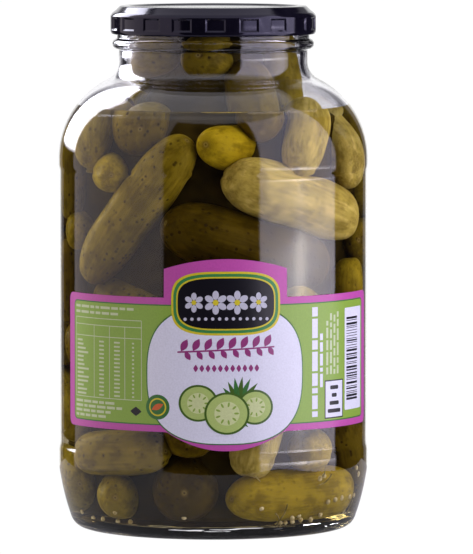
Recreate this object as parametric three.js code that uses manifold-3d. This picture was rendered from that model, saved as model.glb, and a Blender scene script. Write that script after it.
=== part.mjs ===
// A pickle jar: a two litre clear glass jar packed with gherkins, with a black lug cap and a paper label.
// Lengths are in millimetres and angles in degrees. +Z is up, and the jar stands on z = 0 with its axis on Z.
// An azimuth is measured round the axis from -Y, the front, towards +X.
import * as THREE from "three";
import { mergeVertices } from "three/addons/utils/BufferGeometryUtils.js";
import Module from "manifold-3d";

const wasm = await Module();
wasm.setup();

// The glass: body, base, shoulder, neck, the bead under the cap and the finish inside it.
const glass = {
  facets: 48,
  wall: 3,
  bodyRadius: 64.2,
  footInner: 49,
  footOuter: 53,
  pushUp: 3.5,
  heelTop: new THREE.Vector2(59.6, 5.5),
  bumperFrom: 25,
  bumperTo: 33,
  panelRadius: 63.7,
  panelFrom: 35,
  panelTo: 148.5,
  upperBandFrom: 150.4,
  shoulderFrom: 153.5,
  shoulderRadius: 36.6,
  shoulderTurn: 64,
  neckFillet: 7.9,
  neckTo: 198.5,
  beadRadius: 2.3,
  beadHeight: 200.95,
  finishRadius: 39.6,
  mouthRadius: 36.4,
  lipRound: 1.2,
  top: 214.9,
  floor: 5.5,
  floorCrown: 0.4,
  floorRadius: 50,
  floorFillet: 5,
};

// The cap: a pressed steel shell with a sunk panel, grip dimples round the skirt and a curled edge.
const cap = {
  dimples: 19,
  firstDimple: 1.3,
  dimpleWidth: 9.6,
  dimpleDepth: 0.9,
  dimpleTop: 211.5,
  dimpleFoot: 207.4,
  top: 216.7,
  panelSink: 0.8,
  panelRadius: 34,
  panelSlope: 1.2,
  rimRadius: 38.6,
  bevel: [
    [41.9, 213.8],
    [40.4, 214.9],
  ],
  corner: 2.4,
  skirtRadius: 42.7,
  skirtTop: 212.6,
  skirtFoot: 206,
  curl: 1,
  curlFoot: 205,
  shell: 0.6,
  lining: 0.8,
};

// The label: a band with an arched crest over its middle and a round bulge under it.
const label = {
  middle: 4.8,
  halfLength: 79.7,
  inside: 64,
  thickness: 0.22,
  foot: 45,
  top: 99.8,
  corner: 3,
  crestHalf: 25.7,
  crestCorner: 111.5,
  crestPeak: 115.7,
  bulgeHalf: 24.6,
  bulgeFoot: 37.4,
  columnStep: 7,
};

// The gherkins that show from the front, and four more that fill the neck. Each row gives a girth
// radius, then for each of the two rounded ends the azimuth, the height and the distance from the
// jar's axis of its centre.
const shownGherkins = [
  [11.2, -60, 114.5, 49.4, -20, 156, 49],
  [12.8, 18.5, 145.5, 47.6, 68, 130, 47.6],
  [14, -8, 125.5, 46, 46, 115, 44],
  [8.6, 0.5, 161, 50, 25, 160.5, 31],
  [10, -65, 159, 50.4, -75, 167, 43],
  [12.4, -39, 166, 41, -76, 166, 20],
  [8.4, -45, 147, 50, -95, 148, 27],
  [8.8, -83, 158, 51.5, -83, 137, 51.5],
  [9, -74, 124.5, 51, -108, 124.5, 34],
  [9.5, -86, 111, 51, -85, 94, 51],
  [11.5, -56, 97, 40, -30, 88, 42],
  [9.4, 41, 156, 50.6, 54, 169, 44],
  [11, 76, 148.5, 50, 106, 152, 34],
  [11, 23, 169, 46, 33, 185, 29],
  [11, -6, 194.5, 24, 40, 193, 4],
  [9.8, 42, 96.5, 50.4, 54, 83, 49.6],
  [10, 78, 104, 50.6, 78, 87, 50.6],
  [9.8, -62, 33, 50.8, -29, 36, 50.8],
  [10.2, -48, 16.7, 50.2, -62, 16.7, 27],
  [13.6, -12, 20, 46.5, -22, 20, 14],
  [11, -11, 41, 47, -15, 45, 21],
  [10.2, 18, 35, 50.4, 22, 49, 49],
  [9.8, 46, 34, 50.8, 51, 34, 29],
  [11, 20, 18, 49.5, 66, 17.6, 49.5],
  [10.5, -55, 196, 24.5, -112, 190, 24.5],
  [11, 70, 180, 25, 92, 199, 24.5],
  [11.5, 140, 179, 24, 150, 199, 23.5],
  [11.5, -165, 179, 24, -155, 199, 23.5],
];

// The rest of the heap: rows against the glass, round the back and behind the label, and a
// looser column in the middle that nothing shows of.
const packing = {
  wallCount: 25,
  coreCount: 9,
  lowest: 20,
  highest: 160,
  wallReach: 48,
  wallLean: 70,
  coreReach: 14,
  coreLean: 80,
  labelBand: [52, 92],
  farSide: 170,
  ceiling: 176,
  crown: 198,
  goldenAngle: 137.5,
  girth: [9.4, 12.6],
  halfStretch: [14, 22],
  passes: 260,
  stiffness: 0.5,
  squash: 1,
  shownSquash: 3,
  shownWeight: 0.02,
  glassGap: 0.55,
  seed: 20917,
};

// A gherkin's facets and how blunt its ends are, the plain core of the heap, and the mustard seeds.
const gherkin = { sides: 8, rings: 6, blunt: 4, round: 0.45 };
const heapCore = {
  facets: 24,
  radius: 45,
  shoulder: 155,
  outline: [
    [0, 7.2],
    [42, 7.2],
    [45, 12],
    [45, 155],
    [38, 166],
    [30, 176],
    [24, 186],
    [22, 200],
    [0, 203],
  ],
  covered: 8,
};
const seeds = { count: 20, radius: 1.05, lowest: 9.4, highest: 24, sunk: 0.35, glassGap: 0.45 };

// Colours of the four materials.
const colours = { glass: 0xd9e2dc, cap: 0x1b1a22, paper: 0xb6459a, gherkin: 0x7c6a1c };

const radians = THREE.MathUtils.degToRad;

// Points of a round stretch of a profile, centred at (x, y), its first point left out.
function arc(x, y, radius, from, to, steps) {
  const points = [];
  for (let i = 1; i <= steps; i++) {
    const angle = radians(from + ((to - from) * i) / steps);
    points.push(new THREE.Vector2(x + radius * Math.cos(angle), y + radius * Math.sin(angle)));
  }
  return points;
}

// A curve's points with its first one left out.
const along = (curve, steps) => curve.getPoints(steps).slice(1);

// Turns a profile of (radius, height) points round the Z axis.
function turned(profile, facets) {
  return new THREE.LatheGeometry(profile, facets).rotateX(Math.PI / 2);
}

// A point given by its azimuth, its height and its distance from the axis.
function place(azimuth, height, reach) {
  const angle = radians(azimuth);
  return new THREE.Vector3(reach * Math.sin(angle), -reach * Math.cos(angle), height);
}

// A closed geometry as a solid that can be joined and cut.
function solidOf(geometry) {
  const bare = geometry.clone();
  bare.deleteAttribute("normal");
  bare.deleteAttribute("uv");
  const merged = mergeVertices(bare, 1e-4);
  const vertProperties = new Float32Array(merged.attributes.position.array);
  const triVerts = new Uint32Array(merged.index.array);
  return new wasm.Manifold(new wasm.Mesh({ numProp: 3, vertProperties, triVerts }));
}

// A solid back as a geometry.
function geometryOf(solid) {
  const mesh = solid.getMesh();
  const geometry = new THREE.BufferGeometry();
  geometry.setAttribute("position", new THREE.BufferAttribute(mesh.vertProperties, 3));
  geometry.setIndex(new THREE.BufferAttribute(mesh.triVerts, 1));
  geometry.computeVertexNormals();
  return geometry;
}

// The outer side of the glass, from the foot ring up to the start of the finish.
function outerSide() {
  const g = glass;
  const foot = new THREE.Vector2(g.footOuter, 0);
  const bumper = new THREE.Vector2(g.bodyRadius, g.bumperFrom);
  const heel = new THREE.QuadraticBezierCurve(foot, new THREE.Vector2(58.3, 0.3), g.heelTop);
  const taper = new THREE.QuadraticBezierCurve(g.heelTop, new THREE.Vector2(62.5, 13.5), bumper);
  const shoulderX = g.bodyRadius - g.shoulderRadius;
  const turn = radians(g.shoulderTurn);
  const shoulderEnd = g.shoulderFrom + g.shoulderRadius * Math.sin(turn);
  const neckRadius =
    shoulderX + g.shoulderRadius * Math.cos(turn) - g.neckFillet * (1 - Math.cos(turn));
  const filletY = shoulderEnd + g.neckFillet * Math.sin(turn);
  return [
    foot,
    ...along(heel, 3),
    ...along(taper, 3),
    new THREE.Vector2(g.bodyRadius, g.bumperTo),
    new THREE.Vector2(g.panelRadius, g.panelFrom),
    new THREE.Vector2(g.panelRadius, g.panelTo),
    new THREE.Vector2(g.bodyRadius, g.upperBandFrom),
    new THREE.Vector2(g.bodyRadius, g.shoulderFrom),
    ...arc(shoulderX, g.shoulderFrom, g.shoulderRadius, 0, g.shoulderTurn, 6),
    ...arc(neckRadius + g.neckFillet, filletY, g.neckFillet, 180 + g.shoulderTurn, 180, 3),
    new THREE.Vector2(neckRadius, g.neckTo),
    ...arc(g.finishRadius, g.beadHeight, g.beadRadius, -70, 80, 4),
  ];
}

// The inside of the glass, from the mouth down to the middle of the floor.
function innerSide() {
  const g = glass;
  const inside = g.bodyRadius - g.wall;
  const arcRadius = g.shoulderRadius - g.wall;
  const shoulderX = inside - arcRadius;
  const turn = radians(g.shoulderTurn);
  const fillet = g.neckFillet + g.wall;
  const neckRadius = shoulderX + arcRadius * Math.cos(turn) - fillet * (1 - Math.cos(turn));
  const filletY = g.shoulderFrom + arcRadius * Math.sin(turn) + fillet * Math.sin(turn);
  const floorCorner = arc(g.floorRadius, g.floor + g.floorFillet, g.floorFillet, -90, -30, 2);
  const heel = new THREE.QuadraticBezierCurve(
    floorCorner[1],
    new THREE.Vector2(g.heelTop.x - g.wall / 4, g.floor + g.heelTop.y + 1.5),
    new THREE.Vector2(inside, g.bumperFrom + 1),
  );
  const upward = [
    new THREE.Vector2(0, g.floor + g.floorCrown),
    new THREE.Vector2(g.floorRadius * 0.6, g.floor + g.floorCrown * 0.7),
    new THREE.Vector2(g.floorRadius, g.floor),
    ...floorCorner,
    ...along(heel, 3),
    new THREE.Vector2(inside, g.shoulderFrom),
    ...arc(shoulderX, g.shoulderFrom, arcRadius, 0, g.shoulderTurn, 4),
    ...arc(neckRadius + fillet, filletY, fillet, 180 + g.shoulderTurn, 180, 2),
    new THREE.Vector2(g.mouthRadius, g.beadHeight),
    new THREE.Vector2(g.mouthRadius, g.top - g.lipRound / 2),
  ];
  return upward.reverse();
}

// The jar: its profile runs under the base, up the outside, over the mouth and down the inside.
function jarGeometry() {
  const g = glass;
  const profile = [
    new THREE.Vector2(0, g.pushUp),
    new THREE.Vector2(g.footInner - 6, g.pushUp - 0.8),
    new THREE.Vector2(g.footInner, 0),
    ...outerSide(),
    new THREE.Vector2(g.finishRadius, g.top - g.lipRound),
    new THREE.Vector2(g.finishRadius - g.lipRound, g.top),
    new THREE.Vector2(g.mouthRadius + g.lipRound / 2, g.top),
    ...innerSide(),
  ];
  return turned(profile, g.facets);
}

// The cap: its profile runs under the lining, down inside the skirt, round the curl, up the outside
// and over the rim. Each dimple is a column of the skirt pressed in, between two that are not.
function capGeometry() {
  const c = cap;
  const inside = c.skirtRadius - c.shell;
  const underside = c.top - c.shell - c.lining;
  const outline = [
    [0, underside],
    [inside - c.corner, underside],
    [inside, c.skirtTop - c.shell],
    [inside, c.dimpleTop],
    [inside, c.dimpleFoot],
    [inside - c.curl, c.skirtFoot],
    [inside - c.curl / 2, c.curlFoot],
    [c.skirtRadius - c.curl / 2, c.curlFoot],
    [c.skirtRadius, c.skirtFoot],
    [c.skirtRadius, c.dimpleFoot],
    [c.skirtRadius, c.dimpleTop],
    [c.skirtRadius, c.skirtTop],
    ...c.bevel,
    [c.rimRadius, c.top],
    [c.panelRadius + c.panelSlope, c.top],
    [c.panelRadius, c.top - c.panelSink],
    [0, c.top - c.panelSink],
  ];
  const spacing = 360 / c.dimples;
  const turns = [0, c.dimpleWidth / 2, spacing - c.dimpleWidth / 2];
  const points = outline.map(([r, z]) => new THREE.Vector2(r, z));
  const geometry = turned(points, c.dimples * turns.length);
  const position = geometry.attributes.position;
  for (let i = 0; i < position.count; i++) {
    const column = Math.floor(i / outline.length) % (c.dimples * turns.length);
    const [r, z] = outline[i % outline.length];
    const pressed = column % turns.length === 0 && (z === c.dimpleTop || z === c.dimpleFoot);
    const turn = Math.floor(column / turns.length) * spacing + turns[column % turns.length];
    const point = place(c.firstDimple + turn, z, pressed ? r - c.dimpleDepth : r);
    position.setXYZ(i, point.x, point.y, point.z);
  }
  return geometry;
}

// Heights of the label's top and foot edges at a distance along the glass from its middle.
function labelEdges(s) {
  const l = label;
  const fromEnd = l.halfLength - Math.abs(s);
  const cut = fromEnd < l.corner ? l.corner - Math.sqrt(l.corner ** 2 - (l.corner - fromEnd) ** 2) : 0;
  const inCrest = Math.abs(s) <= l.crestHalf;
  const crest = l.crestPeak - (l.crestPeak - l.crestCorner) * (s / l.crestHalf) ** 2;
  const drop = Math.max(0, 1 - (s / l.bulgeHalf) ** 2);
  return {
    top: inCrest ? crest : l.top - cut,
    foot: l.foot + cut - (l.foot - l.bulgeFoot) * drop,
  };
}

// Distances along the glass where the label's columns stand: even, with more at corners and steps.
function labelColumns() {
  const l = label;
  const columns = new Set();
  const both = (s) => columns.add(s).add(-s);
  for (let s = 0; s < l.halfLength - l.corner; s += l.columnStep) both(s);
  for (const turn of [0, 30, 60, 90]) both(l.halfLength - l.corner * (1 - Math.sin(radians(turn))));
  both(l.halfLength - 0.05);
  both(l.crestHalf);
  both(l.crestHalf + 0.2);
  both(l.bulgeHalf);
  return [...columns].filter((s) => Math.abs(s) < l.halfLength).sort((a, b) => a - b);
}

// The label: a flat strip of columns, wrapped round the glass.
function labelGeometry() {
  const columns = labelColumns();
  const strip = new THREE.BoxGeometry(1, 1, 1, columns.length - 1, 1, 1);
  const position = strip.attributes.position;
  for (let i = 0; i < position.count; i++) {
    const s = columns[Math.round((position.getX(i) + 0.5) * (columns.length - 1))];
    const edges = labelEdges(s);
    const height = position.getY(i) > 0 ? edges.top : edges.foot;
    const reach = label.inside + (position.getZ(i) > 0 ? label.thickness : 0);
    const azimuth = label.middle + THREE.MathUtils.radToDeg(s / label.inside);
    const point = place(azimuth, height, reach);
    position.setXYZ(i, point.x, point.y, point.z);
  }
  return strip;
}

// A repeatable draw between 0 and 1.
function drawer(seed) {
  let state = seed;
  return () => {
    state = (state * 16807) % 2147483647;
    return state / 2147483647;
  };
}

// The largest distance from the axis at which a ball fits inside the glass at a height.
function freeReach(height, radius, inner) {
  let reach = Infinity;
  for (let i = -6; i <= 6; i++) {
    const offset = (radius * i) / 6;
    const z = height + offset;
    const n = inner.findIndex((p, k) => k && z <= p.y && z >= inner[k - 1].y);
    if (n < 1) continue;
    const [below, above] = [inner[n - 1], inner[n]];
    const share = (z - below.y) / Math.max(above.y - below.y, 1e-6);
    const wallRadius = below.x + (above.x - below.x) * share;
    reach = Math.min(reach, wallRadius - Math.sqrt(Math.max(0, radius ** 2 - offset ** 2)));
  }
  return Math.max(reach, 0);
}

// The nearest points of two gherkins' axes, as shares along each.
function nearest(p, q) {
  const u = p.b.clone().sub(p.a);
  const v = q.b.clone().sub(q.a);
  const w = p.a.clone().sub(q.a);
  const uu = u.dot(u);
  const vv = v.dot(v);
  const uv = u.dot(v);
  const uw = u.dot(w);
  const vw = v.dot(w);
  const clamp = (x) => Math.min(1, Math.max(0, x));
  const across = uu * vv - uv * uv;
  let s = across > 1e-9 ? clamp((uv * vw - vv * uw) / across) : 0.5;
  let t = clamp((uv * s + vw) / vv);
  s = clamp((uv * t - uw) / uu);
  return { s, t, gap: u.multiplyScalar(s).sub(v.multiplyScalar(t)).add(w) };
}

// Every gherkin in the jar before it settles: the ones that show, then the ones drawn by rule.
function looseGherkins() {
  const draw = drawer(packing.seed);
  const between = ([low, high]) => low + (high - low) * draw();
  const heap = shownGherkins.map(([girth, az1, z1, r1, az2, z2, r2]) => ({
    girth,
    a: place(az1, z1, r1),
    b: place(az2, z2, r2),
    weight: packing.shownWeight,
    ceiling: packing.crown,
  }));
  const add = (azimuth, height, reach, lean) => {
    const half = between(packing.halfStretch);
    const girth = between(packing.girth);
    const centre = place(azimuth, height, reach);
    const side = place(azimuth + 90, 0, 1);
    const axis = side.multiplyScalar(Math.cos(lean)).setZ(Math.sin(lean)).multiplyScalar(half);
    const a = centre.clone().sub(axis);
    heap.push({ girth, a, b: centre.add(axis), weight: 1, ceiling: packing.ceiling });
  };
  const span = packing.highest - packing.lowest;
  for (let k = 0; k < packing.wallCount; k++) {
    const height = packing.lowest + (span * (k + 0.5)) / packing.wallCount;
    const lean = radians(between([-packing.wallLean, packing.wallLean]));
    // At the label's height they go all round, and elsewhere only on the far side from the front.
    const behindLabel = height > packing.labelBand[0] && height < packing.labelBand[1];
    const turn = k * packing.goldenAngle;
    const azimuth = behindLabel ? turn : 180 + (turn % packing.farSide) - packing.farSide / 2;
    add(azimuth, height, packing.wallReach, lean);
  }
  for (let k = 0; k < packing.coreCount; k++) {
    const height = packing.lowest + (span * (k + 0.5)) / packing.coreCount;
    const lean = radians(between([-packing.coreLean, packing.coreLean]));
    add(k * packing.goldenAngle, height, packing.coreReach, lean);
  }
  heap.forEach((g) => (g.stretch = g.a.distanceTo(g.b)));
  return heap;
}

// Lets the gherkins push each other and the glass apart until they lie side by side.
function settledGherkins() {
  const heap = looseGherkins();
  const inner = innerSide().reverse();
  const keepIn = (point, { girth, ceiling }) => {
    const low = glass.floor + glass.floorCrown + girth + packing.glassGap;
    point.z = Math.min(Math.max(point.z, low), ceiling);
    const reach = Math.hypot(point.x, point.y);
    const free = freeReach(point.z, girth + packing.glassGap, inner);
    if (reach > free) {
      point.x *= free / reach;
      point.y *= free / reach;
    }
  };
  for (let pass = 0; pass < packing.passes; pass++) {
    const pushes = heap.map(() => [new THREE.Vector3(), new THREE.Vector3()]);
    for (let i = 0; i < heap.length; i++) {
      for (let j = i + 1; j < heap.length; j++) {
        const { s, t, gap } = nearest(heap[i], heap[j]);
        const apart = Math.max(gap.length(), 1e-6);
        const bothShow = j < shownGherkins.length;
        const squash = bothShow ? packing.shownSquash : packing.squash;
        const overlap = heap[i].girth + heap[j].girth - apart - squash;
        if (overlap <= 0) continue;
        const weight = heap[i].weight + heap[j].weight;
        const push = gap.multiplyScalar((packing.stiffness * overlap) / apart / weight);
        pushes[i][0].addScaledVector(push, heap[i].weight * (1 - s));
        pushes[i][1].addScaledVector(push, heap[i].weight * s);
        pushes[j][0].addScaledVector(push, -heap[j].weight * (1 - t));
        pushes[j][1].addScaledVector(push, -heap[j].weight * t);
      }
    }
    heap.forEach((g, i) => {
      g.a.add(pushes[i][0]);
      g.b.add(pushes[i][1]);
      keepIn(g.a, g);
      keepIn(g.b, g);
      const axis = g.b.clone().sub(g.a);
      const spare = (g.stretch / Math.max(axis.length(), 1e-6) - 1) / 2;
      g.a.addScaledVector(axis, -spare);
      g.b.addScaledVector(axis, spare);
      const middle = g.a.clone().add(g.b).multiplyScalar(0.5);
      const held = middle.clone();
      keepIn(held, g);
      g.a.add(held.clone().sub(middle));
      g.b.add(held.sub(middle));
      keepIn(g.a, g);
      keepIn(g.b, g);
    });
  }
  return heap;
}

// One gherkin, blunt at both ends, lying along its axis.
function gherkinGeometry({ girth, a, b }) {
  const axis = b.clone().sub(a);
  const half = axis.length() / 2 + girth;
  const profile = [];
  for (let i = 0; i <= gherkin.rings; i++) {
    const t = -Math.cos((Math.PI * i) / gherkin.rings);
    const radius = i % gherkin.rings ? girth * (1 - Math.abs(t) ** gherkin.blunt) ** gherkin.round : 0;
    profile.push(new THREE.Vector2(radius, t * half));
  }
  const geometry = new THREE.LatheGeometry(profile, gherkin.sides);
  const up = new THREE.Vector3(0, 1, 0);
  geometry.applyQuaternion(new THREE.Quaternion().setFromUnitVectors(up, axis.normalize()));
  const middle = a.clone().add(b).multiplyScalar(0.5);
  return geometry.translate(middle.x, middle.y, middle.z);
}

// Mustard seeds near the floor: each goes straight in from the glass and sinks a little into the heap.
function seedGeometries(heapSolid) {
  const draw = drawer(packing.seed + 1);
  const inner = innerSide().reverse();
  const surface = new THREE.Mesh(geometryOf(heapSolid));
  const found = [];
  for (let k = 0; k < seeds.count; k++) {
    const height = seeds.lowest + (seeds.highest - seeds.lowest) * draw() ** 2;
    const azimuth = k * packing.goldenAngle;
    const from = place(azimuth, height, glass.bodyRadius);
    const inwards = place(azimuth, 0, -1);
    const [hit] = new THREE.Raycaster(from, inwards).intersectObject(surface);
    const reach = hit ? Math.hypot(hit.point.x, hit.point.y) - seeds.sunk : 0;
    const free = freeReach(height, seeds.radius + seeds.glassGap, inner);
    if (reach < heapCore.radius || reach > free) continue;
    const at = place(azimuth, height, reach);
    found.push(new THREE.IcosahedronGeometry(seeds.radius, 0).translate(at.x, at.y, at.z));
  }
  return found;
}

// The heap: a plain core with every gherkin that comes near the glass fused on, and the seeds on those.
function heapGeometry() {
  const c = heapCore;
  const core = turned(
    c.outline.map(([r, z]) => new THREE.Vector2(r, z)),
    c.facets,
  );
  const shows = ({ girth, a, b }) => {
    const reach = Math.max(Math.hypot(a.x, a.y), Math.hypot(b.x, b.y)) + girth;
    return reach > c.radius + c.covered || Math.max(a.z, b.z) > c.shoulder;
  };
  const gherkins = settledGherkins().filter(shows).map(gherkinGeometry);
  const join = (whole, piece) => whole.add(solidOf(piece));
  const bare = gherkins.reduce(join, solidOf(core));
  return geometryOf(seedGeometries(bare).reduce(join, bare));
}

// A finish: its colour, roughness and metalness, and how much it hides what is behind it.
function material(color, roughness, metalness, opacity = 1) {
  return new THREE.MeshStandardMaterial({ color, roughness, metalness, opacity, transparent: opacity < 1 });
}

const jar = new THREE.Group();
for (const [name, geometry, finish] of [
  ["glass_jar", jarGeometry(), material(colours.glass, 0.05, 0, 0.35)],
  ["lid", capGeometry(), material(colours.cap, 0.25, 0.4)],
  ["label", labelGeometry(), material(colours.paper, 0.4, 0)],
  ["gherkins", heapGeometry(), material(colours.gherkin, 0.35, 0)],
]) {
  const mesh = new THREE.Mesh(geometry, finish);
  mesh.name = name;
  jar.add(mesh);
}

export default jar;
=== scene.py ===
import math
import random

import bmesh
import bpy
import numpy as np
from mathutils import Matrix, Vector
from mathutils.bvhtree import BVHTree


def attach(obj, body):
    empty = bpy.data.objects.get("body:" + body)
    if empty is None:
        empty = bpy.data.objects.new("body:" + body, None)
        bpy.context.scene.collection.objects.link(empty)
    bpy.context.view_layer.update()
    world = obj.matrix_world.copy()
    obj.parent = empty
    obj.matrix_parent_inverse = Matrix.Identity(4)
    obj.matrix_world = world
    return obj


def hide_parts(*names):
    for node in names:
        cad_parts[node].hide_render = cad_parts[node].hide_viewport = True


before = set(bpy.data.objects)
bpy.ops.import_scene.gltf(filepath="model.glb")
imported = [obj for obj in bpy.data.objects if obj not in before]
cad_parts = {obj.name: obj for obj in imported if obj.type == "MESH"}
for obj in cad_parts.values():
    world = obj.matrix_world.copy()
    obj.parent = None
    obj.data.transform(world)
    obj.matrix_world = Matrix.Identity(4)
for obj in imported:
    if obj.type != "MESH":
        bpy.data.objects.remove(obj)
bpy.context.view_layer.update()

bpy.ops.object.select_all(action="DESELECT")
mm = 0.001


def linear(hexColour):  # an sRGB hex value as the linear colour that Blender's sockets take
    shares = [int(hexColour[i : i + 2], 16) / 255 for i in (1, 3, 5)]
    return tuple(c / 12.92 if c <= 0.04045 else ((c + 0.055) / 1.055) ** 2.4 for c in shares) + (1.0,)


# One node with its settings. Its sockets, by name or in order, are set or linked, and a node stands for
# its first output. A colour ramp's stops are places and hex colours, in order.
def addNode(tree, kind, inputs=(), stops=(), **settings):
    made = tree.nodes.new(kind)
    for name, value in settings.items():
        setattr(made, name, value)
    for socket, value in inputs.items() if isinstance(inputs, dict) else enumerate(inputs):
        if isinstance(value, bpy.types.Node):
            value = next(output for output in value.outputs if output.enabled)
        if isinstance(value, bpy.types.NodeSocket):
            tree.links.new(value, made.inputs[socket])
        else:
            made.inputs[socket].default_value = value
    for i, (at, hexColour) in enumerate(stops):
        elements = made.color_ramp.elements
        stop = elements[i] if i < len(elements) else elements.new(at)
        stop.position = at
        stop.color = linear(hexColour)
    return made


def newMaterial(name):  # an empty material and its node tree
    made = bpy.data.materials.new(name)
    made.use_nodes = True
    made.node_tree.nodes.clear()
    return made, made.node_tree


def place(azimuth, height, reach):  # a point by its azimuth, its height and its distance from the axis
    angle = math.radians(azimuth)
    return Vector((reach * math.sin(angle), -reach * math.cos(angle), height))


def arc(x, y, radius, start, end, steps):  # points of a round stretch, its first point left out
    angles = [math.radians(start + (end - start) * i / steps) for i in range(1, steps + 1)]
    return [(x + radius * math.cos(a), y + radius * math.sin(a)) for a in angles]


def sweep(a, b, c, steps):  # points of a curve from a to c that b pulls, its first point left out
    shares = [i / steps for i in range(1, steps + 1)]
    return [
        tuple((1 - t) ** 2 * p + 2 * t * (1 - t) * q + t * t * r for p, q, r in zip(a, b, c)) for t in shares
    ]


def eased(profile, reach, steps=3, straight=12):  # a profile whose corners are rounded over a short reach
    points = [profile[0]]
    for before, corner, after in zip(profile, profile[1:], profile[2:]):
        one, two = Vector(before) - Vector(corner), Vector(after) - Vector(corner)
        if math.pi - one.angle(two) < math.radians(straight):
            points.append(corner)
            continue
        near = min(reach, one.length * 0.45, two.length * 0.45)
        start = tuple(Vector(corner) + one.normalized() * near)
        end = tuple(Vector(corner) + two.normalized() * near)
        points += [start, *sweep(start, corner, end, steps)]
    return points + [profile[-1]]


def turned(name, profile, steps):  # a profile of (radius, height) points spun round the Z axis
    bpy.ops.mesh.primitive_plane_add(size=mm)
    piece = bpy.context.object
    piece.name = name
    bpy.ops.object.mode_set(mode="EDIT")
    bpy.ops.mesh.merge(type="CENTER")
    bpy.ops.transform.translate(value=(profile[0][0] * mm, 0, profile[0][1] * mm))
    for (r0, z0), (r1, z1) in zip(profile, profile[1:]):
        move = ((r1 - r0) * mm, 0, (z1 - z0) * mm)
        bpy.ops.mesh.extrude_vertices_move(TRANSFORM_OT_translate={"value": move})
    bpy.ops.mesh.select_all(action="SELECT")
    bpy.ops.mesh.spin(steps=steps, angle=math.tau, center=(0, 0, 0), axis=(0, 0, 1))
    bpy.ops.mesh.select_all(action="SELECT")
    bpy.ops.mesh.remove_doubles(threshold=0.004 * mm)
    bpy.ops.mesh.normals_make_consistent(inside=False)
    bpy.ops.object.mode_set(mode="OBJECT")
    return piece


def selectFaces(piece, wanted):  # in edit mode, selects the faces that a test of their centre picks
    bpy.ops.mesh.select_mode(type="FACE")
    bpy.ops.mesh.select_all(action="DESELECT")
    mesh = bmesh.from_edit_mesh(piece.data)
    for face in mesh.faces:
        face.select_set(bool(wanted(face.calc_center_median() / mm)))
    bmesh.update_edit_mesh(piece.data)


def bevelEdges(piece, width, sharper):  # rounds the edges that are sharper than an angle
    bpy.ops.object.modifier_add(type="BEVEL")
    bevel = piece.modifiers[-1]
    bevel.width = width * mm
    bevel.segments = 3
    bevel.angle_limit = math.radians(sharper)
    bpy.ops.object.modifier_apply(modifier=bevel.name)


def joined(pieces, name):
    bpy.ops.object.select_all(action="DESELECT")
    for piece in pieces:
        piece.select_set(True)
    bpy.context.view_layer.objects.active = pieces[0]
    bpy.ops.object.join()
    whole = bpy.context.object
    whole.name = name
    bpy.ops.object.transform_apply(location=True, rotation=True, scale=True)
    return whole


def finishPiece(piece, materials, replaced=None, sharpAngle=180):  # gives it materials and smooth shading, hides the part it replaces and hangs it on the root body
    piece.data.materials.clear()
    for made in materials:
        piece.data.materials.append(made)
    bpy.ops.object.select_all(action="DESELECT")
    piece.select_set(True)
    bpy.context.view_layer.objects.active = piece
    bpy.ops.object.shade_smooth_by_angle(angle=math.radians(sharpAngle))
    piece.select_set(False)
    if replaced:
        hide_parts(replaced)
    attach(piece, "root")


# Camera, floor and light. The jar stood before white, between two tall soft boxes, with the camera side dark.
studio = {
    "cameraDistance": 2500,
    "cameraHeight": 286,
    "lens": 391.4,
    "lookDown": 4.169,  # degrees below level
    "lookRight": 0.2216,  # the jar stands a little left of the frame's middle
    "floorSize": 420,
    "floor": "#8c8c92",
    "floorGlow": 0.18,
    "seenWhite": {"colour": "#ffffff", "strength": 1.02},  # what shows round the jar
    "rightBox": {"from": 35, "to": 104, "low": -40, "high": 60, "colour": "#ece6fc", "strength": 2.6},
    "glow": {"azimuth": 68, "height": -4.6, "wide": 30, "tall": 0.95, "colour": "#f6f0fa", "strength": 9},
    "lamp": {"azimuth": 68.5, "height": -4.6, "wide": 5.5, "tall": 0.8, "colour": "#fff8fa", "strength": 12.5},
    "leftBox": {"from": -128, "to": -38, "low": -40, "high": 60, "colour": "#f6eaee", "strength": 1.0},
    "kicker": {"from": -156, "to": -126, "low": 3, "high": 46, "colour": "#f6f6ff", "strength": 10.0},
    "fringe": {"from": 154, "colour": "#f4f2fa", "strength": 0.25},
    "backdrop": {"from": 164, "colour": "#ffffff", "strength": 1.05},
    "ceiling": {"from": 52, "colour": "#f6f3fa", "strength": 0.95},
    "darkSide": {"colour": "#8f86a4", "strength": 0.04},
    "edge": 1.5,  # degrees over which a box's edge fades
}


def setCamera():
    s = studio
    bpy.ops.object.camera_add(
        location=(0, -s["cameraDistance"] * mm, s["cameraHeight"] * mm),
        rotation=(math.radians(90 - s["lookDown"]), 0, -math.radians(s["lookRight"])),
    )
    camera = bpy.context.object
    camera.data.lens = s["lens"]
    camera.data.clip_end = 20
    bpy.context.scene.camera = camera


def layFloor():
    bpy.ops.mesh.primitive_plane_add(size=studio["floorSize"] * mm)
    floor = bpy.context.object
    floor.name = "floor"
    white = studio["seenWhite"]
    paint, tree = newMaterial("paleStudioFloor")  # white acrylic sheet, lit until it shows pure white
    matt = addNode(
        tree,
        "ShaderNodeBsdfPrincipled",
        {
            "Base Color": linear(studio["floor"]),
            "Roughness": 1.0,
            "Specular IOR Level": 0.0,
            "Emission Color": (1, 1, 1, 1),
            "Emission Strength": studio["floorGlow"],
        },
    )
    glow = addNode(tree, "ShaderNodeEmission", {"Color": linear(white["colour"]), "Strength": white["strength"]})
    ray = addNode(tree, "ShaderNodeLightPath")
    mixed = addNode(tree, "ShaderNodeMixShader", [ray.outputs["Is Camera Ray"], matt, glow])
    addNode(tree, "ShaderNodeOutputMaterial", {"Surface": mixed})
    floor.data.materials.append(paint)


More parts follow.
